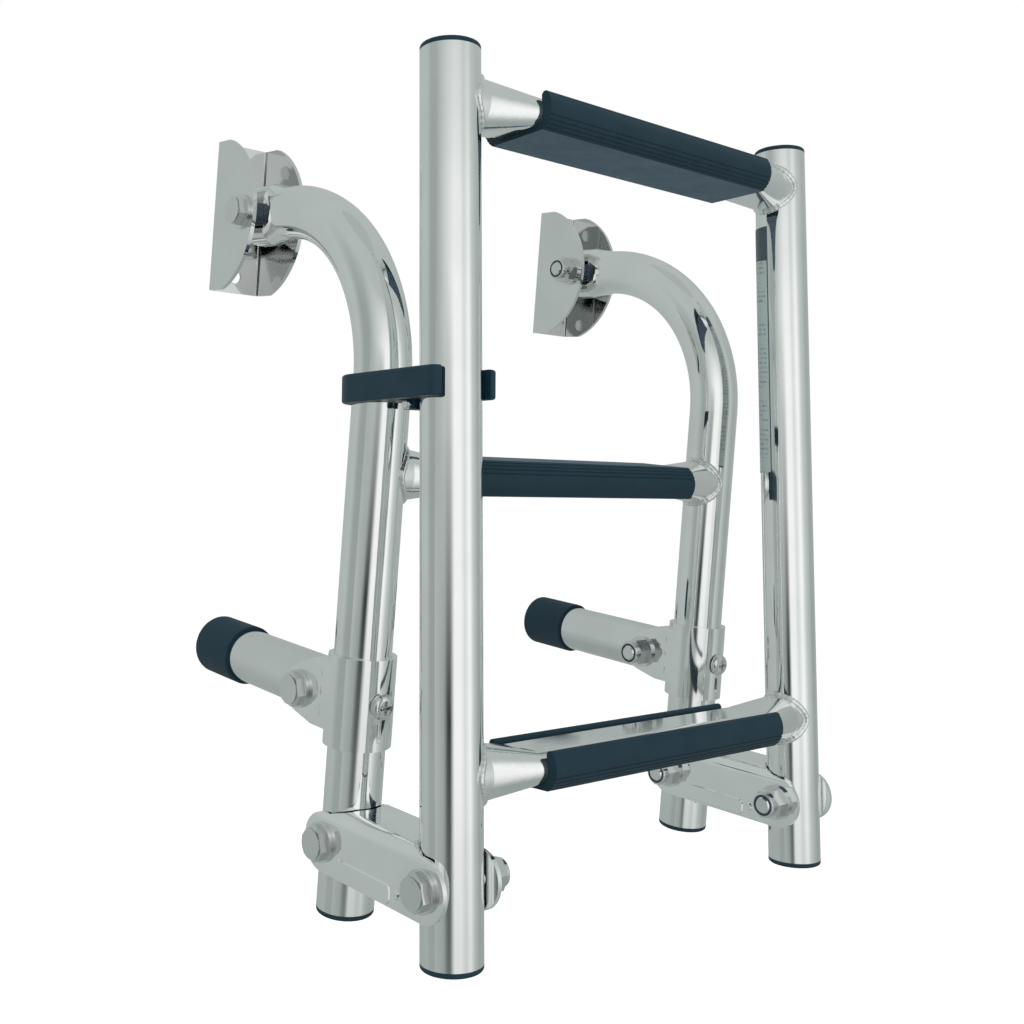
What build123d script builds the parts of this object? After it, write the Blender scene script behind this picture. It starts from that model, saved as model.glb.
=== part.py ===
"""Folding boat boarding ladder in polished stainless tube, shown folded against the transom.

Frame: millimetres, +Z up, +Y into the boat, +X to the right of a person who faces the transom.
The origin is the middle of the four screw holes, on the brackets' back faces (y = 0).
Each paired piece is built for the left-hand side, and the right-hand one is its mirror image.
"""

import os
from math import cos, hypot, pi, radians, sin

from build123d import *

os.makedirs("parts", exist_ok=True)

# ---------------------------------------------------------------- driving dimensions
TUBE_R = 12.7  # 25.4 mm tube
TUBE_WALL = 1.2
HALF_SPAN = 116.0  # centre plane to the axis of each side tube
SHEET = 2.0  # brackets, links and clamps
CLEAR = 0.05  # between pieces that fit closely
THROUGH = 40.0  # reach of the cuts that run right through a piece

# screw brackets
BRACKET_HALF_GAP = 13.0  # tube axis to the inner face of an ear
BRACKET_HALF_HEIGHT = 37.5
BRACKET_DEPTH = 39.4
EAR_FLAT = 13.0  # straight top and bottom edge of an ear
EAR_CORNER = 5.5
BRACKET_FOLD_R = 2.6
BRACKET_INNER_R = 1.2
SCREW_HOLE_Z = 29.0
SCREW_HOLE_R = 3.5
TILT_Y = -28.8  # bolt through the ears and the hook tube, at z = 0

# hook tubes
HOOK_Y = -131.6  # axis of the straight run
HOOK_BOTTOM = -307.9
BEND_R = 80.5
STUB_END = -15.5
STUB_HALF_WIDTH = 8.6  # where the tube's end is pressed flat
STUB_FLAT_FROM = -38.0
STUB_ROUND_R = 15.1  # the stub's end in side view, round the tilt bolt
SPACER_R = 5.8
FIXED_STEP_Z = -119.5

# links: U-shaped sheet between the lower ends of the hook tubes and the swing tubes
REAR_BOLT = (HOOK_Y, -277.8)
FRONT_BOLT = (-198.7, -274.9)
LINK_END_R = 12.5
LINK_HALF_GAP = 13.2
LINK_WEB_TOP = 15.2
LINK_TUBE_CLEAR = 13.5
LINK_FOLD_R = 6.0
LINK_RIB_AT = (29.5, -7.6)
LINK_RIB_SIZE = (37.0, 8.0)
LINK_RIB_CORNER = 2.5
LINK_RIB_RAISED = 0.7
LINK_DIMPLE_AT = (51.7, -6.3)
LINK_DIMPLE_R = 2.0

# swing section, measured along its own tubes from their lower ends
SWING_LEAN = 6.42  # degrees, top towards the boat
SWING_LENGTH = 364.0
SWING_BOLT_UP = 29.6
LOWER_STEP_UP = 71.0
UPPER_STEP_UP = 343.7
LABEL_FROM, LABEL_TO = 195.8, 324.2
LABEL_ARC = (72, 180)  # degrees round the right-hand tube, from its outboard side
LABEL_THICK = 0.25

# steps: round tube, pressed flat along the middle, with a clipped-on plastic tread
STEP_END_R = 11.8
FLAT_THICK = 13.6
FLAT_STRAIGHT = 18.6  # between the two rounded edges of the flattened tube
STEP_FLAT_HALF = 78.5  # flat this far each side of the middle
STEP_ROUND_FROM = 104.0  # round beyond this
TREAD_HALF = 78.0
TREAD_SKIN = 1.7  # under the working face
TREAD_CORNER = 15.3  # half the depth of the flat working face
TREAD_BULGE = (20.5, -0.6)  # widest point of a side; heights grow away from the working face
TREAD_SHOULDER = (18.9, 6.2)
TREAD_LIP_TOP = (17.0, 7.8)
TREAD_LIP_END = (15.0, 6.4)
RIB_SHARES = (0.10, 0.21, 0.32, 0.44)  # along the side, from the working face
RIB_R = 0.35

# adjustable standoffs
STANDOFF_Y = -106.4
STANDOFF_Z = -217.5
STANDOFF_TUBE_START = STANDOFF_Y - 6.5
CAP_END = -10.0
CAP_LENGTH = 31.0
CAP_R = 14.3
CAP_WALL = 3.0  # closed end
CAP_MOUTH_R = 0.6
CLAMP_HALF_GAP = 13.0
SLEEVE_R = CLAMP_HALF_GAP + SHEET
SLEEVE_HALF_HEIGHT = 19.5
EAR_RISE = 1.5  # the clamp's ears sit this much higher than its bolt where they leave the sleeve
EAR_HALF_HEIGHT = 14.5
EAR_END_R = 10.5
CLAMP_SLOT_DROP = 11.5  # from the clamp screw to the middle of the slot below it
CLAMP_SLOT = (9.0, 2.2)
CLAMP_SCREW_R = 2.5
CLAMP_HEAD_R = 5.6
CLAMP_HEAD_HEIGHT = 3.4
CLAMP_HEAD_RIM = 0.8
RECESS = (6.0, 1.5, 2.2)  # length, width and depth of the cross in the clamp screw's head

# stow clip
CLIP_Z = -83.4
CLIP_TILT = 5.5  # degrees, the jaws rise towards the swing tube
CLIP_HEIGHT = 12.2
CLIP_HALF_WIDTH = 17.7
CLIP_REAR = -116.4
CLIP_REAR_CORNER = 15.0
CLIP_FRONT = -186.5
CLIP_FRONT_CORNER = 3.5
CLIP_EDGE = 1.2
CLIP_SLIT = 1.2
JAW_R = TUBE_R + 0.4
LUG_Y = -159.3
LUG_DEPTH = 7.0
LUG_DROP = 3.8
LUG_HALF_WIDTH = 8.0
LUG_SCREW_DROP = 1.4
M3_R = 1.5
M3_HEAD_R = 2.5
M3_HEAD_HEIGHT = 1.8
M3_NUT_HEIGHT = 2.2
POCKET_R = 3.2
POCKET_DEPTH = 4.0

# M8 fasteners
M8_R = 4.0
BORE_R = M8_R + CLEAR
HEX_FLATS = 13.0
HEAD_HEIGHT = 4.2
HEAD_TURN = 12.0  # degrees, so the heads stand at an angle
WASHER_R = 8.5
WASHER_THICK = 1.6
NUT_HEIGHT = 9.5
NUT_HEXAGON = 7.0
COLLAR_R = 5.9
RING_R = 5.1
RING_THICK = 2.0
THREAD_SHOWN = 0.7  # bolt end that shows beyond its nut

# ---------------------------------------------------------------- planes of the assembly
lean = radians(SWING_LEAN)
swing_up = Vector(0, sin(lean), cos(lean))
swing_back = Vector(0, cos(lean), -sin(lean))
swing_foot = Vector(0, *FRONT_BOLT) - swing_up * SWING_BOLT_UP
link_run = (FRONT_BOLT[0] - REAR_BOLT[0], FRONT_BOLT[1] - REAR_BOLT[1])
LINK_PITCH = hypot(*link_run)


def side_plane(x, y, z):
    """Plane whose own X points into the boat, own Y up and normal to the right."""
    return Plane(origin=(x, y, z), x_dir=(0, 1, 0), z_dir=(1, 0, 0))


def swing_plane(up, x=0.0):
    """Cross-section of the swing tubes, `up` mm along them from their lower ends."""
    return Plane(origin=swing_foot + swing_up * up + Vector(x, 0, 0), x_dir=(1, 0, 0), z_dir=swing_up)


def swing_side_plane(up, x=0.0):
    """A side plane that leans with the swing section."""
    return Plane(origin=swing_foot + swing_up * up + Vector(x, 0, 0), x_dir=swing_back, z_dir=(1, 0, 0))


def link_plane(x):
    """Side plane on the rear link bolt, its own X towards the front bolt and its own Y up."""
    return Plane(origin=(x, *REAR_BOLT), x_dir=(0, *link_run), z_dir=(-1, 0, 0))


def save(part, name):
    """Labels a finished piece and writes it as its own STEP file."""
    part.label = name
    export_step(part, f"parts/{name}.step")


def grouped(*pieces):
    """Identical pieces as separate solids of one node."""
    return Compound([solid for piece in pieces for solid in piece.solids()])


def mirrored(piece):
    return mirror(piece, about=Plane.YZ)


def save_sides(piece, name):
    """A left-hand piece and its mirror image, each a node of its own."""
    save(piece, f"{name}_left")
    save(mirrored(piece), f"{name}_right")


# ---------------------------------------------------------------- fasteners
def hex_bolt(x_face, y, z, shank):
    """Hexagon bolt with its head on the left of x_face and its shank to the right."""
    crown = 0.6
    with BuildPart() as bolt:
        with BuildSketch(side_plane(x_face - HEAD_HEIGHT, y, z)):
            RegularPolygon(HEX_FLATS / 2, 6, major_radius=False, rotation=HEAD_TURN)
        extrude(amount=HEAD_HEIGHT)
        with BuildSketch(side_plane(x_face, y, z)):
            Circle(M8_R)
        extrude(amount=shank)
        chamfer(bolt.faces().sort_by(Axis.X)[-1].edges(), 0.6)
        with BuildSketch(side_plane(x_face - HEAD_HEIGHT, y, z)):
            Circle(HEX_FLATS / 2 + 1.5)
            Circle(HEX_FLATS / 2 - 0.1, mode=Mode.SUBTRACT)
        extrude(amount=crown, taper=-55, mode=Mode.SUBTRACT)
    return bolt.part


def disc(x_from, y, z, outer_r, inner_r, thick):
    """Ring across the X axis whose left face is at x_from."""
    with BuildPart() as ring:
        with BuildSketch(side_plane(x_from, y, z)):
            Circle(outer_r)
            Circle(inner_r, mode=Mode.SUBTRACT)
        extrude(amount=thick)
    return ring.part


def washer(x_from, y, z):
    """Flat washer whose left face is at x_from."""
    return disc(x_from, y, z, WASHER_R, M8_R + 0.2, WASHER_THICK)


def locknut(x_from, y, z):
    """Hexagon nut from x_from, with a round collar on the right that holds the nylon ring."""
    with BuildPart() as nut:
        with BuildSketch(side_plane(x_from, y, z)):
            RegularPolygon(HEX_FLATS / 2, 6, major_radius=False, rotation=-HEAD_TURN)
        extrude(amount=NUT_HEXAGON)
        with BuildSketch(side_plane(x_from, y, z)):
            Circle(COLLAR_R)
        extrude(amount=NUT_HEIGHT)
        fillet(nut.faces().sort_by(Axis.X)[-1].edges(), 0.5)
        with BuildSketch(side_plane(x_from, y, z)):
            Circle(BORE_R)
        extrude(amount=NUT_HEIGHT, mode=Mode.SUBTRACT)
        with BuildSketch(side_plane(x_from + NUT_HEIGHT - RING_THICK - CLEAR, y, z)):
            Circle(RING_R + CLEAR)
        extrude(amount=RING_THICK + CLEAR, mode=Mode.SUBTRACT)
    return nut.part


def fastener_set(half_grip, y, z):
    """Bolt, two washers, nut and nylon ring through a joint 2 x half_grip wide on a left-hand tube."""
    outer_washer = -HALF_SPAN - half_grip - CLEAR - WASHER_THICK
    inner_washer = -HALF_SPAN + half_grip + CLEAR
    head_face = outer_washer - CLEAR
    nut_from = inner_washer + WASHER_THICK + CLEAR
    shank = nut_from + NUT_HEIGHT + THREAD_SHOWN - head_face
    return (
        hex_bolt(head_face, y, z, shank),
        grouped(washer(outer_washer, y, z), washer(inner_washer, y, z)),
        locknut(nut_from, y, z),
        disc(nut_from + NUT_HEIGHT - RING_THICK, y, z, RING_R, BORE_R, RING_THICK),
    )


# ---------------------------------------------------------------- screw brackets
with BuildPart() as bracket:
    with BuildSketch(side_plane(-HALF_SPAN, 0, 0)):
        with BuildLine():
            Line((0, -BRACKET_HALF_HEIGHT), (0, BRACKET_HALF_HEIGHT))
            Line((0, BRACKET_HALF_HEIGHT), (-EAR_FLAT, BRACKET_HALF_HEIGHT))
            ThreePointArc(
                (-EAR_FLAT, BRACKET_HALF_HEIGHT),
                (-BRACKET_DEPTH, 0),
                (-EAR_FLAT, -BRACKET_HALF_HEIGHT),
            )
            Line((-EAR_FLAT, -BRACKET_HALF_HEIGHT), (0, -BRACKET_HALF_HEIGHT))
        make_face()
    extrude(amount=BRACKET_HALF_GAP + SHEET, both=True)
    blank_corners = bracket.edges().filter_by(Axis.X).group_by(Axis.Y)[0]
    fillet(blank_corners, EAR_CORNER)
    fillet(bracket.edges().filter_by(Axis.Z).group_by(Axis.Y)[-1], BRACKET_FOLD_R)
    with BuildSketch(Plane.XY.offset(-BRACKET_HALF_HEIGHT)):
        with Locations((-HALF_SPAN, -SHEET - BRACKET_DEPTH / 2)):
            channel = Rectangle(2 * BRACKET_HALF_GAP, BRACKET_DEPTH)
        fillet(channel.vertices().group_by(Axis.Y)[-1], BRACKET_INNER_R)
    extrude(amount=2 * BRACKET_HALF_HEIGHT, mode=Mode.SUBTRACT)
    with BuildSketch(Plane.XZ):
        with Locations((-HALF_SPAN, SCREW_HOLE_Z), (-HALF_SPAN, -SCREW_HOLE_Z)):
            Circle(SCREW_HOLE_R)
    extrude(amount=SHEET, mode=Mode.SUBTRACT)
    with BuildSketch(side_plane(-HALF_SPAN, TILT_Y, 0)):
        Circle(BORE_R)
    extrude(amount=BRACKET_HALF_GAP + SHEET, both=True, mode=Mode.SUBTRACT)
save_sides(bracket.part, "bracket")

bracket_set = fastener_set(BRACKET_HALF_GAP + SHEET, TILT_Y, 0)
for piece, name in zip(bracket_set, ("bolts", "washers", "nuts", "nut_rings")):
    save(grouped(piece, mirrored(piece)), f"bracket_{name}")

# nylon spacers fill the gap between the ears and the flattened tube end
with BuildPart() as spacer:
    with BuildSketch(side_plane(-HALF_SPAN - BRACKET_HALF_GAP + CLEAR, TILT_Y, 0)):
        Circle(SPACER_R)
        Circle(M8_R + 2 * CLEAR, mode=Mode.SUBTRACT)
    extrude(amount=BRACKET_HALF_GAP - STUB_HALF_WIDTH - 2 * CLEAR)
inner_spacer = mirror(spacer.part, about=Plane.YZ.offset(-HALF_SPAN))
save(
    grouped(spacer.part, inner_spacer, mirrored(spacer.part), mirrored(inner_spacer)),
    "bracket_spacers",
)


# ---------------------------------------------------------------- hook tubes
def stub_section(half_width, shrink):
    """Upright obround of the pressed tube; `shrink` takes the wall off all round."""
    perimeter = 2 * pi * TUBE_R
    straight = (perimeter - 2 * pi * half_width) / 2
    SlotCenterToCenter(straight, 2 * (half_width - shrink), rotation=90)


def hook_solid(shrink):
    """Straight run, bend and pressed end of a hook tube, thinner all round by `shrink`."""
    bend_bottom = -BEND_R
    bend_end = HOOK_Y + BEND_R
    with BuildPart() as rod:
        with BuildSketch(Plane.XY.offset(HOOK_BOTTOM)):
            with Locations((-HALF_SPAN, HOOK_Y)):
                Circle(TUBE_R - shrink)
        extrude(amount=bend_bottom - HOOK_BOTTOM)
        with BuildSketch(Plane.XY.offset(bend_bottom)):
            with Locations((-HALF_SPAN, HOOK_Y)):
                Circle(TUBE_R - shrink)
        bend_axis = Axis((-HALF_SPAN, bend_end, bend_bottom), (1, 0, 0))
        revolve(axis=bend_axis, revolution_arc=-90)
        stub = Plane(origin=(-HALF_SPAN, bend_end, 0), x_dir=(-1, 0, 0), z_dir=(0, 1, 0))
        with BuildSketch(stub):
            SlotCenterToCenter(0.01, 2 * (TUBE_R - shrink), rotation=90)
        with BuildSketch(stub.offset(STUB_FLAT_FROM - bend_end)):
            stub_section(STUB_HALF_WIDTH, shrink)
        loft()
        with BuildSketch(stub.offset(STUB_FLAT_FROM - bend_end)):
            stub_section(STUB_HALF_WIDTH, shrink)
        extrude(amount=STUB_END - STUB_FLAT_FROM)
    return rod.part


with BuildPart() as hook_tube:
    add(hook_solid(0))
    add(hook_solid(TUBE_WALL), mode=Mode.SUBTRACT)
    # the pressed end is rounded off in side view
    with BuildSketch(side_plane(-HALF_SPAN, TILT_Y, 0)):
        with Locations((STUB_ROUND_R, 0)):
            Rectangle(2 * STUB_ROUND_R, THROUGH)
        Circle(STUB_ROUND_R, mode=Mode.SUBTRACT)
    extrude(amount=THROUGH, both=True, mode=Mode.SUBTRACT)
    for y, z in ((TILT_Y, 0), REAR_BOLT):
        with BuildSketch(side_plane(-HALF_SPAN, y, z)):
            Circle(BORE_R)
        extrude(amount=THROUGH, both=True, mode=Mode.SUBTRACT)
save_sides(hook_tube.part, "hook_tube")


# ---------------------------------------------------------------- steps
def step_core(plane_at, shrink):
    """Step tube: round ends, long flat middle, and a cone from one to the other each side."""
    with BuildPart() as core:
        flat = FLAT_THICK / 2 - shrink
        with BuildSketch(plane_at(-STEP_FLAT_HALF)):
            SlotCenterToCenter(FLAT_STRAIGHT, 2 * flat)
        extrude(amount=2 * STEP_FLAT_HALF)
        for side in (-1, 1):
            with BuildSketch(plane_at(side * STEP_FLAT_HALF)):
                SlotCenterToCenter(FLAT_STRAIGHT, 2 * flat)
            with BuildSketch(plane_at(side * STEP_ROUND_FROM)):
                SlotCenterToCenter(0.01, 2 * (STEP_END_R - shrink))
            loft()
            with BuildSketch(plane_at(side * STEP_ROUND_FROM)):
                SlotCenterToCenter(0.01, 2 * (STEP_END_R - shrink))
            extrude(amount=side * (HALF_SPAN - STEP_ROUND_FROM))
    return core.part


def step_tube(plane_at, across):
    """Hollow step tube whose ends are coped to the side tubes; `across` is their section plane."""
    with BuildPart() as tube:
        add(step_core(plane_at, 0))
        add(step_core(plane_at, TUBE_WALL), mode=Mode.SUBTRACT)
        with BuildSketch(across):
            with Locations((-HALF_SPAN, 0), (HALF_SPAN, 0)):
                Circle(TUBE_R)
        extrude(amount=THROUGH, both=True, mode=Mode.SUBTRACT)
    return tube.part


def tread(plane_at, face):
    """Plastic tread clipped round both edges, its working face up (face = 1) or down (face = -1)."""
    half = FLAT_THICK / 2
    base = face * (half + TREAD_SKIN)
    with BuildPart() as body:
        with BuildSketch(plane_at(-TREAD_HALF)):
            for edge in (-1, 1):
                corner = (edge * TREAD_CORNER, base)
                bulge, shoulder, lip_top, lip_end = [
                    (edge * out, -face * up)
                    for out, up in (TREAD_BULGE, TREAD_SHOULDER, TREAD_LIP_TOP, TREAD_LIP_END)
                ]
                with BuildLine():
                    Line((0, base), corner)
                    flank = ThreePointArc(corner, bulge, shoulder)
                    ThreePointArc(shoulder, lip_top, lip_end)
                    Line(lip_end, (lip_end[0], 0))
                    Line((lip_end[0], 0), (0, 0))
                    Line((0, 0), (0, base))
                make_face()
                with Locations(*(flank @ share for share in RIB_SHARES)):
                    Circle(RIB_R, mode=Mode.SUBTRACT)
            SlotCenterToCenter(FLAT_STRAIGHT, 2 * (half + CLEAR), mode=Mode.SUBTRACT)
        extrude(amount=2 * TREAD_HALF)
    return body.part


def fixed_plane(x):
    return side_plane(x, HOOK_Y, FIXED_STEP_Z)


def lower_plane(x):
    return swing_side_plane(LOWER_STEP_UP, x)


def upper_plane(x):
    return swing_side_plane(UPPER_STEP_UP, x)


steps = {
    "fixed": (fixed_plane, Plane(origin=(0, HOOK_Y, FIXED_STEP_Z)), 1),
    "lower": (lower_plane, swing_plane(LOWER_STEP_UP), -1),
    "upper": (upper_plane, swing_plane(UPPER_STEP_UP), -1),
}
for name, (plane_at, across, face) in steps.items():
    save(step_tube(plane_at, across), f"{name}_step_tube")
    save(tread(plane_at, face), f"{name}_tread")

# ---------------------------------------------------------------- swing tubes
with BuildPart() as swing_tube:
    with BuildSketch(swing_plane(0, -HALF_SPAN)):
        Circle(TUBE_R)
        Circle(TUBE_R - TUBE_WALL, mode=Mode.SUBTRACT)
    extrude(amount=SWING_LENGTH)
    with BuildSketch(side_plane(-HALF_SPAN, *FRONT_BOLT)):
        Circle(BORE_R)
    extrude(amount=THROUGH, both=True, mode=Mode.SUBTRACT)
save_sides(swing_tube.part, "swing_tube")


# ---------------------------------------------------------------- tube plugs
def plug(end_plane):
    """Plastic plug: a low dome outside the tube's end and a hollow insert inside it."""
    flange = 1.2
    dome = 1.2
    insert = 14.0
    insert_wall = 1.75
    top = 1.0
    with BuildPart() as body:
        with BuildSketch(end_plane):
            Circle(TUBE_R)
        extrude(amount=flange + dome)
        fillet(body.faces().sort_by(Axis(end_plane.origin, end_plane.z_dir))[-1].edges(), dome)
        with BuildSketch(end_plane):
            Circle(TUBE_R - TUBE_WALL - CLEAR)
        extrude(amount=-insert)
        with BuildSketch(end_plane.offset(-insert)):
            Circle(TUBE_R - TUBE_WALL - CLEAR - insert_wall)
        extrude(amount=insert - top, mode=Mode.SUBTRACT)
    return body.part


hook_foot = Plane(origin=(-HALF_SPAN, HOOK_Y, HOOK_BOTTOM), x_dir=(1, 0, 0), z_dir=(0, 0, -1))
swing_top = swing_plane(SWING_LENGTH, -HALF_SPAN)
swing_bottom = Plane(origin=swing_plane(0, -HALF_SPAN).origin, x_dir=(1, 0, 0), z_dir=-swing_up)
for end_plane, name in (
    (hook_foot, "hook_tube_plugs"),
    (swing_top, "swing_top_plugs"),
    (swing_bottom, "swing_bottom_plugs"),
):
    end_plug = plug(end_plane)
    save(grouped(end_plug, mirrored(end_plug)), name)

# ---------------------------------------------------------------- links
link_way = Vector(0, *link_run).normalized()
with BuildPart() as link:
    half_width = LINK_HALF_GAP + SHEET
    with BuildSketch(link_plane(-HALF_SPAN)):
        with Locations((LINK_PITCH / 2, 0)):
            SlotCenterToCenter(LINK_PITCH, 2 * LINK_END_R)
        with BuildLine():
            Polyline(
                (2, 0),
                (2, LINK_END_R - 0.2),
                (13, LINK_WEB_TOP),
                (LINK_PITCH - 12, LINK_WEB_TOP),
                (LINK_PITCH - 2, LINK_END_R - 0.2),
                (LINK_PITCH - 2, 0),
                (2, 0),
            )
        make_face()
    extrude(amount=half_width, both=True)
    top_face = link.faces().filter_by(lambda f: f.normal_at().Z > 0.9).sort_by(Axis.Z)[-1]
    fillet(top_face.edges().filter_by(lambda e: abs(e.tangent_at(0.5).X) < 0.1), LINK_FOLD_R)
    # a stiffening rib and a small dimple pressed outwards in both cheeks, above the lower edge
    for side in (-1, 1):
        with BuildSketch(link_plane(-HALF_SPAN + side * half_width)):
            with Locations(LINK_RIB_AT):
                RectangleRounded(*LINK_RIB_SIZE, LINK_RIB_CORNER)
        extrude(amount=-side * LINK_RIB_RAISED, taper=35)
        with BuildSketch(link_plane(-HALF_SPAN + side * half_width)):
            with Locations(LINK_DIMPLE_AT):
                Circle(LINK_DIMPLE_R)
        extrude(amount=-side * LINK_RIB_RAISED, taper=45)
    channel_start = Vector(-HALF_SPAN, *REAR_BOLT) - link_way * THROUGH
    with BuildSketch(Plane(origin=channel_start, x_dir=(1, 0, 0), z_dir=link_way)):
        with Locations((0, LINK_WEB_TOP - SHEET - THROUGH / 2)):
            channel = Rectangle(2 * LINK_HALF_GAP, THROUGH)
        fillet(channel.vertices().group_by(Axis.Z)[-1], LINK_FOLD_R - SHEET)
    extrude(amount=LINK_PITCH + 2 * THROUGH, mode=Mode.SUBTRACT)
    # the web stops short of both tubes
    for bolt_at, up, beyond in (
        (REAR_BOLT, Vector(0, 0, 1), THROUGH / 2),
        (FRONT_BOLT, swing_up, -THROUGH / 2),
    ):
        with BuildSketch(Plane(origin=(-HALF_SPAN, *bolt_at), x_dir=(1, 0, 0), z_dir=up)):
            Circle(LINK_TUBE_CLEAR)
            with Locations((0, beyond)):
                Rectangle(2 * LINK_HALF_GAP, THROUGH)
        extrude(amount=THROUGH, mode=Mode.SUBTRACT)
    with BuildSketch(link_plane(-HALF_SPAN)):
        with Locations((0, 0), (LINK_PITCH, 0)):
            Circle(BORE_R)
    extrude(amount=half_width, both=True, mode=Mode.SUBTRACT)
save_sides(link.part, "link")

link_sets = [fastener_set(LINK_HALF_GAP + SHEET, *at) for at in (REAR_BOLT, FRONT_BOLT)]
for index, name in enumerate(("link_bolts", "link_washers", "link_nuts", "link_nut_rings")):
    lefts = [pieces[index] for pieces in link_sets]
    save(grouped(*lefts, *map(mirrored, lefts)), name)

# ---------------------------------------------------------------- standoffs
with BuildPart() as clamp:
    with BuildSketch(Plane.XY.offset(STANDOFF_Z - SLEEVE_HALF_HEIGHT)):
        with Locations((-HALF_SPAN, HOOK_Y)):
            Circle(SLEEVE_R)
    extrude(amount=2 * SLEEVE_HALF_HEIGHT)
    with BuildSketch(side_plane(-HALF_SPAN, HOOK_Y, STANDOFF_Z)):
        with Locations((SLEEVE_R / 2, EAR_RISE)):
            Rectangle(SLEEVE_R, 2 * EAR_HALF_HEIGHT)
        with Locations((STANDOFF_Y - HOOK_Y, 0)):
            Circle(EAR_END_R)
        make_hull()
    extrude(amount=SLEEVE_R, both=True)
    with BuildSketch(side_plane(-HALF_SPAN, HOOK_Y + SLEEVE_R + THROUGH / 2, STANDOFF_Z)):
        Rectangle(THROUGH, THROUGH)
    extrude(amount=CLAMP_HALF_GAP, both=True, mode=Mode.SUBTRACT)
    with BuildSketch(Plane.XY.offset(STANDOFF_Z)):
        with Locations((-HALF_SPAN, HOOK_Y)):
            Circle(TUBE_R + CLEAR)
    extrude(amount=THROUGH, both=True, mode=Mode.SUBTRACT)
    with BuildSketch(side_plane(-HALF_SPAN, STANDOFF_Y, STANDOFF_Z)):
        Circle(BORE_R)
    extrude(amount=THROUGH, both=True, mode=Mode.SUBTRACT)
    with BuildSketch(Plane.XZ.offset(-HOOK_Y)):
        with Locations((-HALF_SPAN, STANDOFF_Z)):
            Circle(CLAMP_SCREW_R + CLEAR)
        with Locations((-HALF_SPAN, STANDOFF_Z - CLAMP_SLOT_DROP)):
            SlotOverall(*CLAMP_SLOT, rotation=90)
    extrude(amount=THROUGH, mode=Mode.SUBTRACT)
save_sides(clamp.part, "clamp")

with BuildPart() as clamp_screw:
    with BuildSketch(Plane.XZ.offset(-HOOK_Y + SLEEVE_R + CLEAR)):
        with Locations((-HALF_SPAN, STANDOFF_Z)):
            Circle(CLAMP_HEAD_R)
    extrude(amount=CLAMP_HEAD_HEIGHT)
    fillet(clamp_screw.edges().sort_by(Axis.Y)[0], CLAMP_HEAD_HEIGHT - CLAMP_HEAD_RIM)
    with BuildSketch(Plane.XZ.offset(-HOOK_Y + TUBE_R + 2 * CLEAR)):
        with Locations((-HALF_SPAN, STANDOFF_Z)):
            Circle(CLAMP_SCREW_R)
    extrude(amount=SHEET + 0.5)
    with BuildSketch(Plane.XZ.offset(-HOOK_Y + SLEEVE_R + CLEAR + CLAMP_HEAD_HEIGHT)):
        with Locations((-HALF_SPAN, STANDOFF_Z)):
            Rectangle(RECESS[0], RECESS[1])
            Rectangle(RECESS[1], RECESS[0])
    extrude(amount=-RECESS[2], taper=12, mode=Mode.SUBTRACT)
save_sides(clamp_screw.part, "clamp_screw")

standoff_set = fastener_set(CLAMP_HALF_GAP + SHEET, STANDOFF_Y, STANDOFF_Z)
for piece, name in zip(standoff_set, ("bolt", "washer", "nut", "nut_ring")):
    save_sides(piece, f"standoff_{name}")

with BuildPart() as standoff_tube:
    along = Plane.XZ.offset(CAP_WALL - CAP_END)
    with BuildSketch(along):
        with Locations((-HALF_SPAN, STANDOFF_Z)):
            Circle(TUBE_R)
            Circle(TUBE_R - TUBE_WALL, mode=Mode.SUBTRACT)
    extrude(amount=CAP_END - CAP_WALL - STANDOFF_TUBE_START)
    with BuildSketch(side_plane(-HALF_SPAN, STANDOFF_Y, STANDOFF_Z)):
        Circle(BORE_R)
    extrude(amount=THROUGH, both=True, mode=Mode.SUBTRACT)
save_sides(standoff_tube.part, "standoff_tube")

with BuildPart() as standoff_cap:
    with BuildSketch(Plane.XZ.offset(-CAP_END)):
        with Locations((-HALF_SPAN, STANDOFF_Z)):
            Circle(CAP_R)
    extrude(amount=CAP_LENGTH)
    fillet(standoff_cap.edges().sort_by(Axis.Y)[-1], CAP_WALL)
    fillet(standoff_cap.edges().sort_by(Axis.Y)[0], CAP_MOUTH_R)
    with BuildSketch(Plane.XZ.offset(CAP_WALL - CAP_END)):
        with Locations((-HALF_SPAN, STANDOFF_Z)):
            Circle(TUBE_R + CLEAR)
    extrude(amount=CAP_LENGTH, mode=Mode.SUBTRACT)
save_sides(standoff_cap.part, "standoff_cap")

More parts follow.
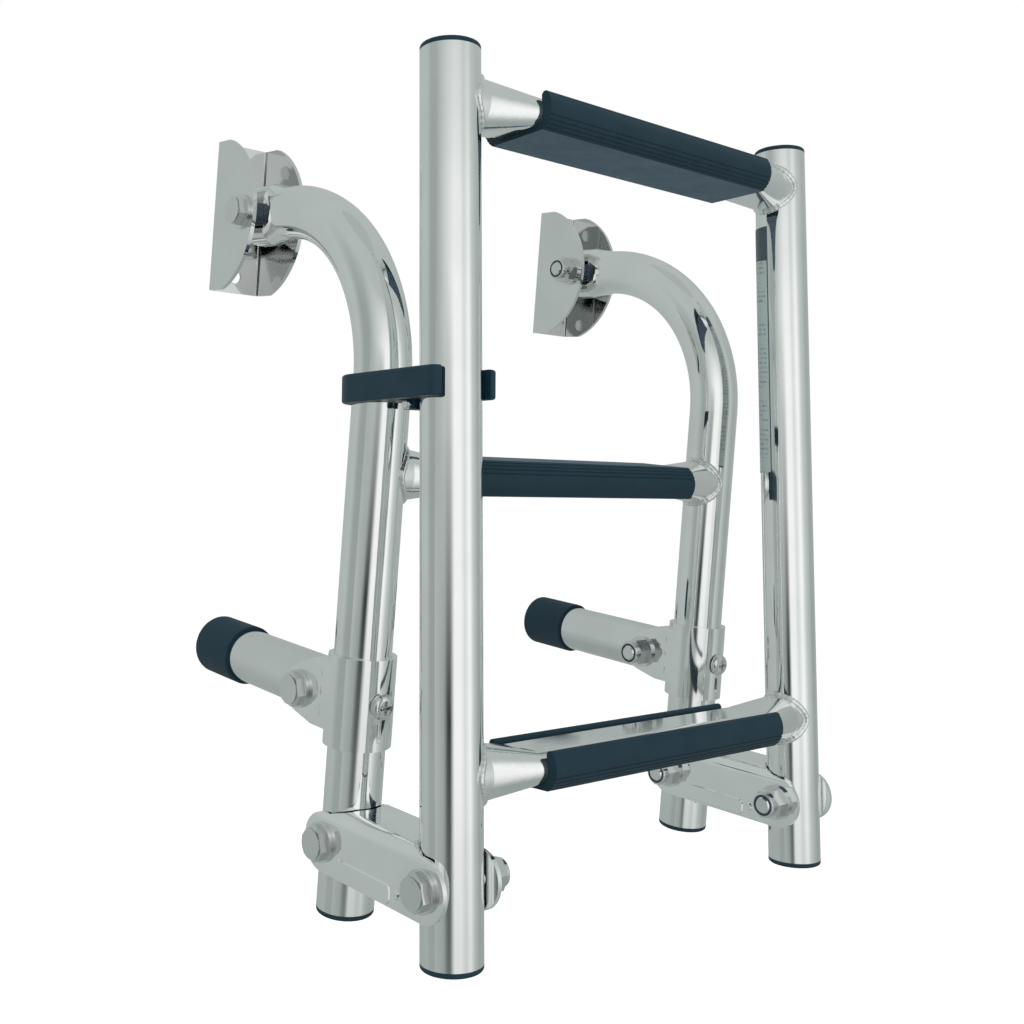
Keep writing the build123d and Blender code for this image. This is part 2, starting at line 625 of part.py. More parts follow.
# ---------------------------------------------------------------- stow clip
tilt = radians(CLIP_TILT)
clip_plane = Plane(
    origin=(-HALF_SPAN, HOOK_Y, CLIP_Z), x_dir=(1, 0, 0), z_dir=(0, sin(tilt), cos(tilt))
)
swing_at_clip = swing_foot.Y + (CLIP_Z - swing_foot.Z) * sin(lean) / cos(lean)
lug_at = LUG_Y - HOOK_Y
with BuildPart() as stow_clip:
    with BuildSketch(clip_plane):
        with Locations((0, (CLIP_REAR + CLIP_FRONT) / 2 - HOOK_Y)):
            Rectangle(2 * CLIP_HALF_WIDTH, CLIP_REAR - CLIP_FRONT)
    extrude(amount=CLIP_HEIGHT / 2, both=True)
    upright = stow_clip.edges().filter_by(Axis((0, 0, 0), clip_plane.z_dir))
    fillet(upright.group_by(Axis.Y)[-1], CLIP_REAR_CORNER)
    upright = stow_clip.edges().filter_by(Axis((0, 0, 0), clip_plane.z_dir))
    fillet(upright.group_by(Axis.Y)[0], CLIP_FRONT_CORNER)
    rims = stow_clip.faces().filter_by(Axis((0, 0, 0), clip_plane.z_dir))
    fillet(rims.edges(), CLIP_EDGE)
    with BuildSketch(clip_plane.offset(-CLIP_HEIGHT / 2 - LUG_DROP)):
        with Locations((0, lug_at)):
            RectangleRounded(2 * LUG_HALF_WIDTH, LUG_DEPTH, 1.5)
    extrude(amount=LUG_DROP + 1)
    add(hook_solid(-CLEAR), mode=Mode.SUBTRACT)
    jaw = Plane(origin=(-HALF_SPAN, swing_at_clip, CLIP_Z), x_dir=(1, 0, 0), z_dir=swing_up)
    with BuildSketch(jaw):
        Circle(JAW_R)
        with Locations((0, -THROUGH / 2)):
            Rectangle(2 * JAW_R, THROUGH)
    extrude(amount=THROUGH, both=True, mode=Mode.SUBTRACT)
    # slit that lets the cross screw close the clip on the hook tube
    with BuildSketch(clip_plane):
        with Locations((0, -THROUGH / 2)):
            Rectangle(CLIP_SLIT, THROUGH)
    extrude(amount=THROUGH, both=True, mode=Mode.SUBTRACT)
    screw_at = clip_plane.from_local_coords((0, lug_at, -CLIP_HEIGHT / 2 - LUG_SCREW_DROP))
    with BuildSketch(side_plane(-HALF_SPAN, screw_at.Y, screw_at.Z)):
        Circle(M3_R + CLEAR)
    extrude(amount=LUG_HALF_WIDTH + 1, both=True, mode=Mode.SUBTRACT)
    # pockets for the screw's head and nut
    for side in (-1, 1):
        with BuildSketch(side_plane(-HALF_SPAN + side * LUG_HALF_WIDTH, screw_at.Y, screw_at.Z)):
            Circle(POCKET_R)
        extrude(amount=side * POCKET_DEPTH, mode=Mode.SUBTRACT)
save(stow_clip.part, "stow_clip")

with BuildPart() as stow_clip_screw:
    head_face = -HALF_SPAN - LUG_HALF_WIDTH - CLEAR
    with BuildSketch(side_plane(head_face - M3_HEAD_HEIGHT, screw_at.Y, screw_at.Z)):
        Circle(M3_HEAD_R)
    extrude(amount=M3_HEAD_HEIGHT)
    fillet(stow_clip_screw.edges().sort_by(Axis.X)[0], M3_HEAD_HEIGHT / 2)
    with BuildSketch(side_plane(head_face, screw_at.Y, screw_at.Z)):
        Circle(M3_R)
    extrude(amount=2 * LUG_HALF_WIDTH + M3_NUT_HEIGHT + 1)
save(stow_clip_screw.part, "stow_clip_screw")

with BuildPart() as stow_clip_nut:
    with BuildSketch(side_plane(-HALF_SPAN + LUG_HALF_WIDTH + CLEAR, screw_at.Y, screw_at.Z)):
        RegularPolygon(M3_HEAD_R, 6, major_radius=False)
        Circle(M3_R + CLEAR, mode=Mode.SUBTRACT)
    extrude(amount=M3_NUT_HEIGHT)
save(stow_clip_nut.part, "stow_clip_nut")

# ---------------------------------------------------------------- blank label
with BuildPart() as blank_label:
    first, last = map(radians, LABEL_ARC)
    with BuildSketch(swing_plane(LABEL_FROM, HALF_SPAN)):
        with BuildLine():
            inner_r = TUBE_R + CLEAR / 5
            outer_r = TUBE_R + LABEL_THICK
            middle = (first + last) / 2
            inner = [(inner_r * cos(a), inner_r * sin(a)) for a in (first, middle, last)]
            outer = [(outer_r * cos(a), outer_r * sin(a)) for a in (last, middle, first)]
            ThreePointArc(*inner)
            Line(inner[-1], outer[0])
            ThreePointArc(*outer)
            Line(outer[-1], inner[0])
        make_face()
    extrude(amount=LABEL_TO - LABEL_FROM)
save(blank_label.part, "blank_label")
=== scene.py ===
"""Studio scene for the folding boat boarding ladder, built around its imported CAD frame."""

from math import cos, pi, radians, sin, sqrt, tan

import bmesh
import bpy
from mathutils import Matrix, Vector


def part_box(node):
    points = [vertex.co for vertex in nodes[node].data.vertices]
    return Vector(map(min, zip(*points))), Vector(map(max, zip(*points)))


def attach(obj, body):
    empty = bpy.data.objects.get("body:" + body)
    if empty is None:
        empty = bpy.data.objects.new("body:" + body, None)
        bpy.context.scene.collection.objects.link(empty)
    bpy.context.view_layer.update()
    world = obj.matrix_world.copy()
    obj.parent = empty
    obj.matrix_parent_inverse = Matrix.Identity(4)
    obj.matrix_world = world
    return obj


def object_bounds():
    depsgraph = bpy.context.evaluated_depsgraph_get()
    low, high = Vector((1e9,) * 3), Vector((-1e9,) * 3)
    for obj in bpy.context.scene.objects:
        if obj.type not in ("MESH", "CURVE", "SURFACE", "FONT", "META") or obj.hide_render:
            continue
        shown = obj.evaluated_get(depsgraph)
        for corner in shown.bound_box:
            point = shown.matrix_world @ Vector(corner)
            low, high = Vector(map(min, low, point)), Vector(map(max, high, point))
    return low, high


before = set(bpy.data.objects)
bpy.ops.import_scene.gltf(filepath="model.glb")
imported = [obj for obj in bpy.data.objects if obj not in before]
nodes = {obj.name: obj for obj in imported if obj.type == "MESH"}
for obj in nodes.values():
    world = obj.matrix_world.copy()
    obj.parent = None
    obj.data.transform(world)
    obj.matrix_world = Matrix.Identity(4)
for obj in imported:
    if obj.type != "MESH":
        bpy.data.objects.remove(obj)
cad_low, cad_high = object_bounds()
MM = 0.001
HALF_SPAN = 116 * MM
TUBE_R = 12.7 * MM
STEP_END_R = 11.8 * MM
LEAN = radians(6.42)
HOOK_Y = -131.6 * MM
SWING_UP = Vector((0, sin(LEAN), cos(LEAN)))
SWING_BACK = Vector((0, cos(LEAN), -sin(LEAN)))
BOLT_TO_FOOT = 29.6  # along a swing tube, from its link bolt down to its lower end, mm
SWING_FOOT = Vector((0, -198.7 - BOLT_TO_FOOT * sin(LEAN), -274.9 - BOLT_TO_FOOT * cos(LEAN))) * MM
# the steps: name, body, centre, direction to the boat, direction up the side tubes
STEPS = (
    ("fixed", "frame", Vector((0, HOOK_Y, -119.5 * MM)), Vector((0, 1, 0)), Vector((0, 0, 1))),
    ("lower", "swing", SWING_FOOT + SWING_UP * 71 * MM, SWING_BACK, SWING_UP),
    ("upper", "swing", SWING_FOOT + SWING_UP * 343.7 * MM, SWING_BACK, SWING_UP),
)
SIDES = (("left", -1), ("right", 1))
BEAD_SIDES = 10
STEP_BEAD_R = 1.3 * MM
STEP_BEAD_GAP = 0.25 * MM  # how far a bead's middle stands off the tubes it joins
STEP_BEAD_POINTS = 220
STANDOFF_Z = -217.5  # the clamps' middle height, mm
TACKS = ((9.0, 13.5), (1.0, 5.5), (-8.5, -3.0))  # each tack's lower and upper end from there, mm
TACK_R = 0.55 * MM
TACK_OUT = 14.85 * MM  # from the hook tube's middle plane, just inside an ear's outer face
TACK_Y = HOOK_Y + 8.6 * MM
TACK_POINTS = 13
SOFT_EDGE = 0.25 * MM
FLOOR_HALF = 12.0
FLOOR_DROP = 0.5  # from the stowed ladder's lowest point down to the floor


# ---------------------------------------------------------------- small helpers for node trees
class Tree:
    """Adds nodes and links to one node tree in a compact way."""

    def __init__(self, owner):
        owner.use_nodes = True
        self.tree = owner.node_tree
        self.tree.nodes.clear()

    def add(self, kind, inputs=None, **settings):
        """New node, with its inputs linked or set and its settings filled in."""
        node = self.tree.nodes.new(kind)
        for key, value in settings.items():
            setattr(node, key, value)
        for key, value in (inputs or {}).items():
            if isinstance(value, bpy.types.NodeSocket):
                self.tree.links.new(value, node.inputs[key])
            else:
                node.inputs[key].default_value = value
        return node

    def ramp(self, factor, stops):
        """Colour ramp with (position, colour) stops."""
        node = self.add("ShaderNodeValToRGB", {"Fac": factor})
        ramp = node.color_ramp
        while len(ramp.elements) < len(stops):
            ramp.elements.new(0.5)
        for element, (position, colour) in zip(ramp.elements, stops):
            element.position = position
            element.color = colour
        return node.outputs["Color"]

    def maths(self, operation, first, second=0.0):
        return self.add("ShaderNodeMath", {0: first, 1: second}, operation=operation).outputs[0]

    def coords(self):
        return self.add("ShaderNodeTexCoord").outputs["Object"]

    def scaled(self, vector, scale):
        """The coordinates stretched by a factor for each axis."""
        return self.add("ShaderNodeMapping", {"Vector": vector, "Scale": scale}).outputs[0]

    def spread(self, value, from_min, from_max, to_min, to_max):
        """Maps one range of a value onto another."""
        names = ("From Min", "From Max", "To Min", "To Max")
        inputs = dict(zip(names, (from_min, from_max, to_min, to_max)))
        return self.add("ShaderNodeMapRange", {"Value": value, **inputs}).outputs[0]

    def mix(self, factor, first, second):
        """Blend of two colours."""
        inputs = {"Factor": factor, 6: first, 7: second}
        return self.add("ShaderNodeMix", inputs, data_type="RGBA").outputs[2]

    def noise(self, vector, scale, detail=4.0, roughness=0.5):
        node = self.add(
            "ShaderNodeTexNoise",
            {"Vector": vector, "Scale": scale, "Detail": detail, "Roughness": roughness},
        )
        return node.outputs["Fac"]

    def bump(self, height, distance, strength=1.0, under=None):
        """Normals from a height map, laid over the normals `under` if given."""
        inputs = {"Height": height, "Distance": distance, "Strength": strength}
        if under is not None:
            inputs["Normal"] = under
        return self.add("ShaderNodeBump", inputs).outputs["Normal"]

    def normal_part(self, axis):
        """One part of the surface's own normal, in the row's directions."""
        normal = self.add("ShaderNodeTexCoord").outputs["Normal"]
        return self.add("ShaderNodeSeparateXYZ", {"Vector": normal}).outputs[axis]

    def finish(self, **inputs):
        """Principled surface; an underscore in a keyword stands for the space in the socket's name."""
        sockets = {key.replace("_", " "): value for key, value in inputs.items()}
        shader = self.add("ShaderNodeBsdfPrincipled", sockets)
        self.add("ShaderNodeOutputMaterial", {"Surface": shader.outputs[0]})


def grey(value, tint=(1.0, 1.0, 1.0)):
    """Opaque colour of one brightness, leaning to the tint."""
    return (value * tint[0], value * tint[1], value * tint[2], 1.0)


STEEL_TINT = (0.985, 1.0, 0.995)


# ---------------------------------------------------------------- materials
def bracket_inner_shade_mask(t, where):
    """Mask for painted shade: 1 on the faces of a U bracket that look at its middle plane, 0 on its outer
    faces.
    """
    across = t.add("ShaderNodeSeparateXYZ", {"Vector": where}).outputs["X"]
    middle = t.maths("MULTIPLY", t.maths("SIGN", across), HALF_SPAN)
    outward = t.maths("MULTIPLY", t.maths("SUBTRACT", across, middle), t.normal_part("X"))
    return t.maths("LESS_THAN", outward, -2 * MM)


def polished_steel(
    name, grain_scale, base=0.93, rough=0.045, grain_depth=0.000006, wave_depth=0.00012, inner_shade=None
):
    """Polished stainless: faint cloudiness, fine buffing lines and slight waviness.

    The last argument is the brightness of the inner faces of a U bracket, darker than its outer faces:
    painted shade, standing in for the shade and dark reflections inside the U.
    """
    material = bpy.data.materials.new(name)
    t = Tree(material)
    where = t.coords()
    cloud = t.noise(where, 38.0)
    lines = t.noise(t.scaled(where, grain_scale), 1.0, 3.0, 0.6)
    colour = t.ramp(cloud, [(0.3, grey(base * 0.94, STEEL_TINT)), (0.7, grey(base, STEEL_TINT))])
    # painted shade: the inner faces of a U bracket get a darker colour
    if inner_shade:
        colour = t.mix(bracket_inner_shade_mask(t, where), colour, grey(inner_shade, STEEL_TINT))
    mixed = t.maths("ADD", t.maths("MULTIPLY", cloud, 0.5), t.maths("MULTIPLY", lines, 0.5))
    roughness = t.spread(mixed, 0.3, 0.7, rough * 0.7, rough * 1.35)
    normal = t.bump(t.noise(where, 22.0, 1.0), wave_depth, 0.5, under=t.bump(lines, grain_depth))
    t.finish(Base_Color=colour, Metallic=1.0, Roughness=roughness, Normal=normal)
    return material


def weld_steel():
    """Weld bead: polished over, but duller and faintly straw-coloured."""
    material = bpy.data.materials.new("weld_steel")
    t = Tree(material)
    where = t.coords()
    patches = t.noise(where, 160.0, 3.0)
    colour = t.ramp(
        patches,
        [(0.35, (0.80, 0.79, 0.75, 1)), (0.5, (0.92, 0.93, 0.91, 1)), (0.7, (0.68, 0.71, 0.71, 1))],
    )
    rough = t.spread(patches, 0.3, 0.7, 0.24, 0.38)
    bump = t.bump(t.noise(where, 420.0, 2.0), 0.00008)
    t.finish(Base_Color=colour, Metallic=1.0, Roughness=rough, Normal=bump)
    return material


PLASTIC_TONES = ((0.0035, 0.0190, 0.0310, 1), (0.0070, 0.0265, 0.0405, 1))
NYLON_TONES = ((0.016, 0.030, 0.040, 1), (0.024, 0.042, 0.054, 1))
# bracket spacers: partly their own nylon colour, partly painted shade for the dark patch between ear and
# tube stub
SPACER_AND_SHADE_TONES = ((0.052, 0.080, 0.098, 1), (0.070, 0.102, 0.122, 1))
PLASTIC_WORN = (0.037, 0.073, 0.105)


def moulded_plastic(name, tones, rough, grain, grain_depth, worn_way=None):
    """Semi-matt moulded plastic, mottled between two tones; a face turned worn_way is scuffed."""
    material = bpy.data.materials.new(name)
    t = Tree(material)
    where = t.coords()
    mottle = t.noise(where, 70.0, 5.0, 0.6)
    colour = t.ramp(mottle, [(0.3, tones[0]), (0.75, tones[1])])
    roughness = t.spread(mottle, 0.3, 0.7, rough * 0.85, rough * 1.15)
    skin = t.noise(where, grain, 2.0)
    if worn_way:
        normal = t.add("ShaderNodeTexCoord").outputs["Normal"]
        facing = t.add(
            "ShaderNodeVectorMath", {0: normal, 1: worn_way}, operation="DOT_PRODUCT"
        ).outputs["Value"]
        on_face = t.spread(facing, 0.95, 0.99, 0.0, 1.0)
        scuffs = t.noise(t.scaled(where, (60.0, 260.0, 260.0)), 1.0, 5.0, 0.65)
        pale = t.ramp(scuffs, [(0.3, grey(0.85, PLASTIC_WORN)), (0.7, grey(1.0, PLASTIC_WORN))])
        colour = t.mix(on_face, colour, pale)
    t.finish(
        Base_Color=colour,
        Roughness=roughness,
        Specular_IOR_Level=0.22,
        Normal=t.bump(skin, grain_depth),
    )
    return material


LABEL_ROWS = 52.0
HEADER_FROM = 0.86  # share of the label's height where its dark header starts
LABEL_GREY = (0.275, 0.34, 0.33, 1)
LABEL_INK = (0.03, 0.055, 0.065, 1)


def label_film():
    """Printed film: grey panel with a dark header and border, and rows of unreadable specks."""
    material = bpy.data.materials.new("label_film")
    t = Tree(material)
    low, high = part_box("blank_label")
    where = t.coords()
    split = t.add("ShaderNodeSeparateXYZ", {"Vector": where})
    up = t.spread(split.outputs["Z"], low.z, high.z, 0.0, 1.0)
    lean_y = t.maths("MULTIPLY", t.maths("SUBTRACT", split.outputs["Z"], SWING_FOOT.z), tan(LEAN))
    depth = t.maths("SUBTRACT", t.maths("SUBTRACT", split.outputs["Y"], SWING_FOOT.y), lean_y)
    across = t.maths("DIVIDE", depth, TUBE_R)
    specks = t.noise(t.scaled(where, (1400.0, 1400.0, 500.0)), 1.0, 1.0)
    blocks = t.noise(t.scaled(where, (1.0, 1.0, 90.0)), 1.0, 0.0)
    marks = t.maths("LESS_THAN", t.maths("FRACT", t.maths("MULTIPLY", up, LABEL_ROWS)), 0.42)
    for pattern, least in ((specks, 0.50), (blocks, 0.42), (across, 0.14)):
        marks = t.maths("MULTIPLY", marks, t.maths("GREATER_THAN", pattern, least))
    marks = t.maths("MULTIPLY", marks, 0.55)
    edge = t.maths("MAXIMUM", t.maths("LESS_THAN", across, 0.035), t.maths("LESS_THAN", up, 0.008))
    header = t.maths("GREATER_THAN", up, HEADER_FROM)
    inked = t.maths("MAXIMUM", t.maths("MAXIMUM", marks, edge), header)
    colour = t.ramp(inked, [(0.0, LABEL_GREY), (1.0, LABEL_INK)])
    wear = t.noise(where, 300.0)
    rough = t.spread(wear, 0.0, 1.0, 0.22, 0.36)
    t.finish(Base_Color=colour, Roughness=rough, Normal=t.bump(wear, 0.00001))
    return material


ALONG_Z = (900.0, 900.0, 25.0)
ALONG_X = (25.0, 900.0, 900.0)
ALONG_Y = (900.0, 25.0, 900.0)
SHEET_GRAIN = (300.0, 60.0, 300.0)
SWING_FACE = (0.0, -0.1118, -0.9937)  # the treads' scuffed faces look this way when stowed
FIXED_FACE = (0.0, 0.0, 1.0)
tube_steel = polished_steel("tube_steel", ALONG_Z)
rung_steel = polished_steel("rung_steel", ALONG_X, rough=0.09)
# the brackets' inner faces get painted shade, at 0.60 against 0.85 outside
sheet_steel_with_painted_shade = polished_steel(
    "sheet_steel_with_painted_shade", SHEET_GRAIN, base=0.85, rough=0.08, wave_depth=0.0001, inner_shade=0.60
)
link_steel = polished_steel("link_steel", SHEET_GRAIN, base=0.99, rough=0.08, wave_depth=0.0004)
sleeve_steel = polished_steel("sleeve_steel", ALONG_Z, rough=0.08)
standoff_steel = polished_steel("standoff_steel", ALONG_Y, base=0.86, rough=0.10)
fastener_steel = polished_steel("fastener_steel", (500.0, 500.0, 500.0), base=0.80, rough=0.11)
bead_steel = weld_steel()
TREAD_SKIN = {"rough": 0.5, "grain": 1500.0, "grain_depth": 0.00003}
NYLON_SKIN = {"rough": 0.35, "grain": 800.0, "grain_depth": 0.00001}
swing_tread_plastic = moulded_plastic(
    "swing_tread_plastic", PLASTIC_TONES, worn_way=SWING_FACE, **TREAD_SKIN
)
fixed_tread_plastic = moulded_plastic(
    "fixed_tread_plastic", PLASTIC_TONES, worn_way=FIXED_FACE, **TREAD_SKIN
)
clip_plastic = moulded_plastic("clip_plastic", PLASTIC_TONES, rough=0.42, grain=1200.0, grain_depth=0.00002)
cap_rubber = moulded_plastic("cap_rubber", PLASTIC_TONES, rough=0.6, grain=900.0, grain_depth=0.00004)
nylon = moulded_plastic("nylon", NYLON_TONES, **NYLON_SKIN)
# the spacers' dark tone is partly nylon and partly painted shade between ear and stub
spacer_nylon_and_shade = moulded_plastic("spacer_nylon_and_shade", SPACER_AND_SHADE_TONES, **NYLON_SKIN)
label_print = label_film()


def material_for(node):
    """The finish of a CAD node, chosen by its name."""
    if node == "blank_label":
        return label_print
    if node == "bracket_spacers":
        return spacer_nylon_and_shade
    if "nut_ring" in node:
        return nylon
    if node == "fixed_tread":
        return fixed_tread_plastic
    if "tread" in node:
        return swing_tread_plastic
    if node == "stow_clip" or "plugs" in node:
        return clip_plastic
    if "cap" in node:
        return cap_rubber
    if "step_tube" in node:
        return rung_steel
    if node.startswith("standoff_tube"):
        return standoff_steel
    if node.startswith(("hook_tube", "swing_tube")):
        return tube_steel
    if node.startswith(("clamp_l", "clamp_r")):
        return sleeve_steel
    if node.startswith(("bracket_l", "bracket_r")):
        return sheet_steel_with_painted_shade
    if node.startswith(("link_l", "link_r")):
        return link_steel
    return fastener_steel


for name, node in nodes.items():
    node.data.materials.clear()
    node.data.materials.append(material_for(name))


# ---------------------------------------------------------------- weld beads
NEVER_ALONG = Vector((0.31, 0.87, 0.38))  # no bead runs along this direction


def bead(name, body, spine, radius, closed=True):
    """Rippled weld bead: a lumpy round string along a list of (point, radius factor)."""
    shape = bmesh.new()
    rings = []
    count = len(spine)
    for index, (point, factor) in enumerate(spine):
        if closed:
            ahead, behind = spine[(index + 1) % count][0], spine[index - 1][0]
        else:
            ahead, behind = spine[min(index + 1, count - 1)][0], spine[max(index - 1, 0)][0]
        way = (ahead - behind).normalized()
        side = way.cross(NEVER_ALONG).normalized()
        other = way.cross(side)
        reach = radius * factor
        rings.append(
            [
                shape.verts.new(point + reach * (cos(a) * side + sin(a) * other))
                for a in (2 * pi * step / BEAD_SIDES for step in range(BEAD_SIDES))
            ]
        )
    last = count if closed else count - 1
    for index in range(last):
        first, second = rings[index], rings[(index + 1) % count]
        turn = 0
        if closed and index == count - 1:
            turn = min(range(BEAD_SIDES), key=lambda k: (first[0].co - second[k].co).length)
        for step in range(BEAD_SIDES):
            following = (step + 1) % BEAD_SIDES
            across = second[(following + turn) % BEAD_SIDES]
            beyond = second[(step + turn) % BEAD_SIDES]
            shape.faces.new((first[step], first[following], across, beyond))
    if not closed:
        shape.faces.new(rings[0])
        shape.faces.new(rings[-1])
    bmesh.ops.recalc_face_normals(shape, faces=shape.faces)
    mesh = bpy.data.meshes.new(name)
    shape.to_mesh(mesh)
    shape.free()
    mesh.materials.append(bead_steel)
    for face in mesh.polygons:
        face.use_smooth = True
    piece = bpy.data.objects.new(name, mesh)
    bpy.context.collection.objects.link(piece)
    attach(piece, body)


def ripple(turn, side):
    """Radius factor of a step bead: fine ripples, a slow swell and the lump where the weld ended."""
    fine = 0.05 * sin(turn * 34 + 0.7 * sin(turn * 3))
    swell = 0.14 * sin(turn * 5 + side)
    lump = 0.35 * max(0.0, cos(turn - 1.9 - side * 0.4)) ** 40
    return 1 + fine + swell + lump


def step_bead(name, body, centre, back, up, side):
    """Bead round the joint of a step tube's end with a side tube, on the side given by `side`."""
    spine = []
    for index in range(STEP_BEAD_POINTS):
        turn = 2 * pi * index / STEP_BEAD_POINTS
        out = (STEP_END_R + STEP_BEAD_GAP) * cos(turn)
        high = (STEP_END_R + STEP_BEAD_GAP) * sin(turn)
        inset = sqrt(max((TUBE_R + STEP_BEAD_GAP) ** 2 - out**2, 0.0))
        point = centre + back * out + up * high
        point.x = side * (HALF_SPAN - inset)
        spine.append((point, ripple(turn, side)))
    bead(name, body, spine, STEP_BEAD_R)


def clamp_tack(name, body, x, low, high):
    """Short upright tack weld, where an ear of the clamp leaves its sleeve."""
    spine = []
    for index in range(TACK_POINTS):
        z = (STANDOFF_Z + low + (high - low) * index / (TACK_POINTS - 1)) * MM
        swell = 0.35 + 0.65 * sin(pi * (index + 0.5) / TACK_POINTS) + 0.1 * sin(index * 2.4)
        spine.append((Vector((x, TACK_Y, z)), swell))
    bead(name, body, spine, TACK_R, closed=False)


for step_name, body, centre, back, up in STEPS:
    for side_name, side in SIDES:
        step_bead(f"{step_name}_step_weld_{side_name}", body, centre, back, up, side)

for side_name, side in SIDES:
    for face in (-1, 1):
        place = "outer" if face == side else "inner"
        x = side * HALF_SPAN + face * TACK_OUT
        for number, (low, high) in enumerate(TACKS):
            name = f"clamp_tack_{side_name}_{place}_{number}"
            clamp_tack(name, f"clamp_body_{side_name}", x, low, high)


# ---------------------------------------------------------------- softened edges of sheet parts and bolts
for name, node in nodes.items():
    sheet = name.startswith(("bracket_l", "bracket_r", "link_l", "link_r", "clamp_l", "clamp_r"))
    if sheet or "bolt" in name:
        soft = node.modifiers.new("soft_edges", "BEVEL")
        soft.width = SOFT_EDGE
        soft.segments = 2
        soft.limit_method = "ANGLE"
        soft.angle_limit = radians(50)
        soft.use_clamp_overlap = True


# ---------------------------------------------------------------- stage
def make_floor():
    """A large pale floor, low enough to stay clear of the section when it is unfolded."""
    mesh = bpy.data.meshes.new("floor")
    shape = bmesh.new()
    bmesh.ops.create_grid(shape, x_segments=8, y_segments=8, size=FLOOR_HALF)
    shape.to_mesh(mesh)
    shape.free()
    floor = bpy.data.objects.new("floor", mesh)
    bpy.context.collection.objects.link(floor)
    floor.location.z = cad_low.z - FLOOR_DROP
    material = bpy.data.materials.new("floor_paint")
    t = Tree(material)
    speckle = t.noise(t.coords(), 6.0)
    colour = t.ramp(speckle, [(0.3, grey(0.86)), (0.7, grey(0.88))])
    t.finish(Base_Color=colour, Roughness=0.7)
    mesh.materials.append(material)
    floor.visible_glossy = False


def area_light(name, location, target, size, power):
    """Soft rectangular light aimed at a target, hidden from mirrors."""
    data = bpy.data.lights.new(name, "AREA")
    data.shape = "RECTANGLE"
    data.size, data.size_y = size
    data.energy = power
    light = bpy.data.objects.new(name, data)
    bpy.context.collection.objects.link(light)
    light.location = location
    aim = Vector(target) - Vector(location)
    light.rotation_euler = aim.to_track_quat("-Z", "Y").to_euler()
    light.visible_glossy = False


def sky_light(power):
    """Broad soft light from straight above, even over the whole floor."""
    data = bpy.data.lights.new("overhead", "SUN")
    data.energy = power
    data.angle = radians(60)
    light = bpy.data.objects.new("overhead", data)
    bpy.context.collection.objects.link(light)
    light.visible_glossy = False


WALL_RADIUS = 0.6
WALL_HALF_HEIGHT = 2.0
WALL_Y = -0.115  # near the ladder's middle
WALL_SIDES = 96
WALL_GLOW = 1.12
LOW_TONE_Z, HIGH_TONE_Z = -0.75, 0.5  # the wall is plain from these heights outwards
# tones of the studio wall, 0 to 255 as shown
GAP, SHADE, WALL, BACK, EDGE, SLOT, PANEL, BRIGHT = 60, 155, 165, 180, 195, 215, 240, 245
# where the wall's panels stand round the compass, 0 to 1, starting and ending on the left: two bright
# front panels with a slot between them, grey walls elsewhere, and a dark gap on the left low down
LOW_TONES = (
    (0.00, BACK), (0.07, SHADE), (0.10, GAP), (0.12, GAP), (0.15, PANEL),
    (0.20, PANEL), (0.24, SLOT), (0.29, BRIGHT), (0.34, EDGE), (0.42, SHADE),
    (0.50, WALL), (0.90, BACK), (0.95, SHADE),
)
HIGH_TONES = (
    (0.00, SHADE), (0.06, EDGE), (0.15, PANEL), (0.20, PANEL), (0.24, SLOT),
    (0.29, BRIGHT), (0.34, EDGE), (0.42, WALL), (0.90, BACK), (0.95, SHADE),
)
WALL_BANDS = ((-0.25, LOW_TONES), (0.10, HIGH_TONES))  # each with its height above the row's origin
GREEN_LEAN = (-5.5, 2, 0)  # how a grey tone departs from neutral
LEAN_BELOW = 230  # tones darker than this lean, and fully from LEAN_OVER further down
LEAN_OVER = 40


def linear(shown):
    """Linear light of a tone as shown, 0 to 255."""
    return ((shown / 255 + 0.055) / 1.055) ** 2.4


def wall_colour(tone):
    """Linear colour of a tone of the wall: greys lean slightly to green, bright panels are neutral."""
    lean = min(max((LEAN_BELOW - tone) / LEAN_OVER, 0.0), 1.0)
    return tuple(linear(tone + part * lean) for part in GREEN_LEAN) + (1,)


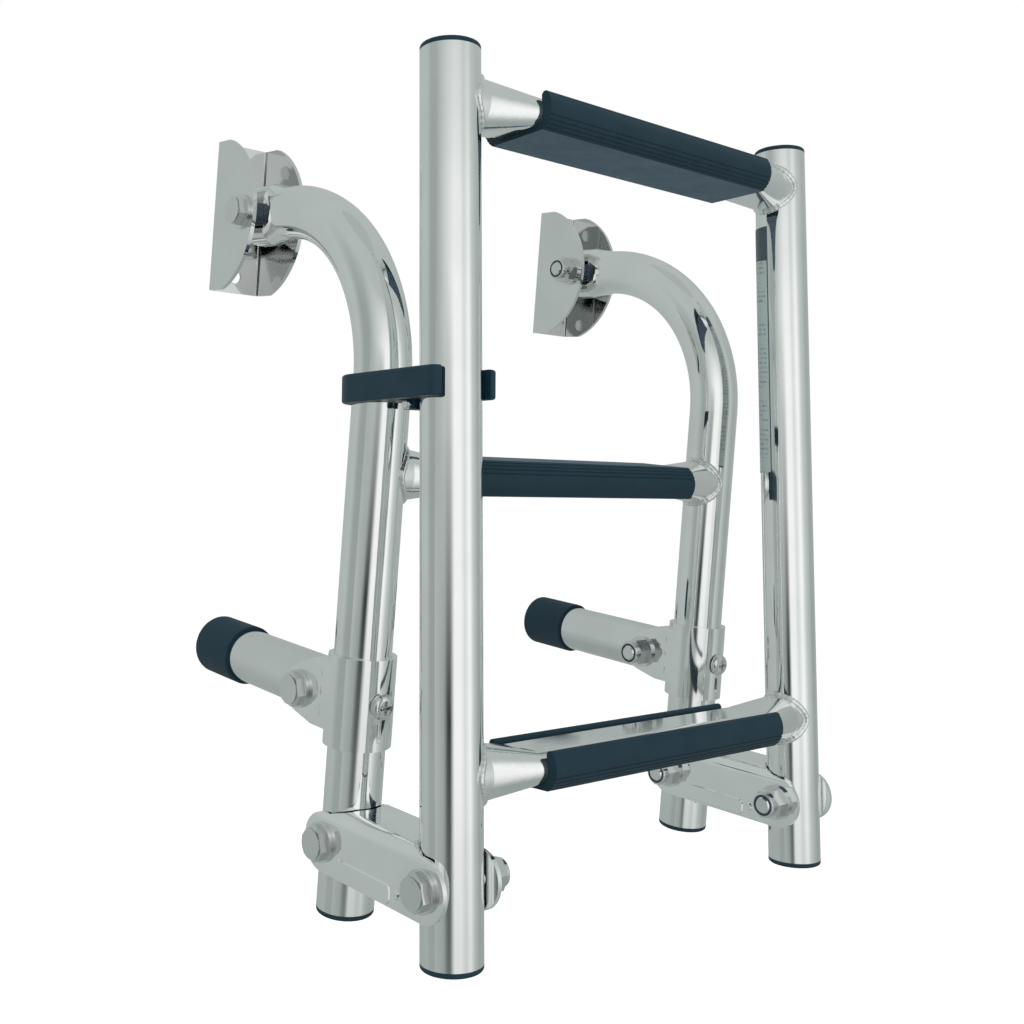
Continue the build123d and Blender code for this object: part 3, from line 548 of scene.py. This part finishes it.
def make_studio_wall():
    """Round studio wall that only mirrors see, with soft panels and darker gaps between them."""
    shape = bmesh.new()
    turns = [2 * pi * step / WALL_SIDES for step in range(WALL_SIDES)]
    circle = [(WALL_RADIUS * cos(turn), WALL_RADIUS * sin(turn)) for turn in turns]
    foot = [shape.verts.new((x, y, -WALL_HALF_HEIGHT)) for x, y in circle]
    head = [shape.verts.new((x, y, WALL_HALF_HEIGHT)) for x, y in circle]
    for step in range(WALL_SIDES):
        following = (step + 1) % WALL_SIDES
        shape.faces.new((foot[step], foot[following], head[following], head[step]))
    mesh = bpy.data.meshes.new("studio_wall")
    shape.to_mesh(mesh)
    shape.free()
    wall = bpy.data.objects.new("studio_wall", mesh)
    bpy.context.collection.objects.link(wall)
    wall.location.y = WALL_Y
    material = bpy.data.materials.new("studio_wall_glow")
    t = Tree(material)
    where = t.add("ShaderNodeSeparateXYZ", {"Vector": t.coords()})
    turn = t.maths("ARCTAN2", where.outputs["Y"], where.outputs["X"])
    share = t.maths("ADD", t.maths("DIVIDE", turn, 2 * pi), 0.5)
    height = where.outputs["Z"]
    colour, last_height = wall_colour(SHADE), LOW_TONE_Z
    for level, tones in WALL_BANDS:
        band = t.ramp(share, [(at, wall_colour(tone)) for at, tone in tones])
        colour = t.mix(t.spread(height, last_height, level, 0.0, 1.0), colour, band)
        last_height = level
    colour = t.mix(t.spread(height, last_height, HIGH_TONE_Z, 0.0, 1.0), colour, wall_colour(BACK))
    glow = t.add("ShaderNodeEmission", {"Color": colour, "Strength": WALL_GLOW})
    t.add("ShaderNodeOutputMaterial", {"Surface": glow.outputs[0]})
    material.cycles.emission_sampling = "NONE"
    mesh.materials.append(material)
    wall.visible_camera = False
    wall.visible_diffuse = False
    wall.visible_shadow = False


def make_world():
    """Soft white surround; mirrors see a grey studio ceiling and floor beyond the wall."""
    world = bpy.data.worlds.new("studio")
    bpy.context.scene.world = world
    t = Tree(world)
    direction = t.add("ShaderNodeTexCoord").outputs["Generated"]
    height = t.add("ShaderNodeSeparateXYZ", {"Vector": direction}).outputs["Z"]
    rise = t.spread(height, -1.0, 1.0, 0.0, 1.0)
    studio = t.ramp(rise, [(0.4, wall_colour(SHADE)), (0.6, wall_colour(BACK))])
    path = t.add("ShaderNodeLightPath")
    plain = t.mix(path.outputs["Is Glossy Ray"], grey(1.0), studio)
    background = t.add("ShaderNodeBackground", {"Color": plain, "Strength": 1.0})
    t.add("ShaderNodeOutputWorld", {"Surface": background.outputs[0]})


def make_camera():
    """Low three-quarter view from the front left, with the slight roll of the reference."""
    data = bpy.data.cameras.new("camera")
    data.sensor_width = 36.0
    data.lens = 42.44
    data.shift_x, data.shift_y = 0.115, -0.0843
    data.clip_start, data.clip_end = 0.01, 60.0
    camera = bpy.data.objects.new("camera", data)
    bpy.context.collection.objects.link(camera)
    camera.location = (-0.43582, -0.54494, -0.08966)
    camera.rotation_euler = (radians(89.061), radians(-4.089), radians(-38.371))
    bpy.context.scene.camera = camera


make_floor()
make_studio_wall()
make_world()
make_camera()
area_light("key", location=(-1.2, -1.6, 1.5), target=(0, -0.1, -0.1), size=(1.6, 1.6), power=22.0)
sky_light(power=0.8)
bpy.context.scene.view_settings.view_transform = "Standard"
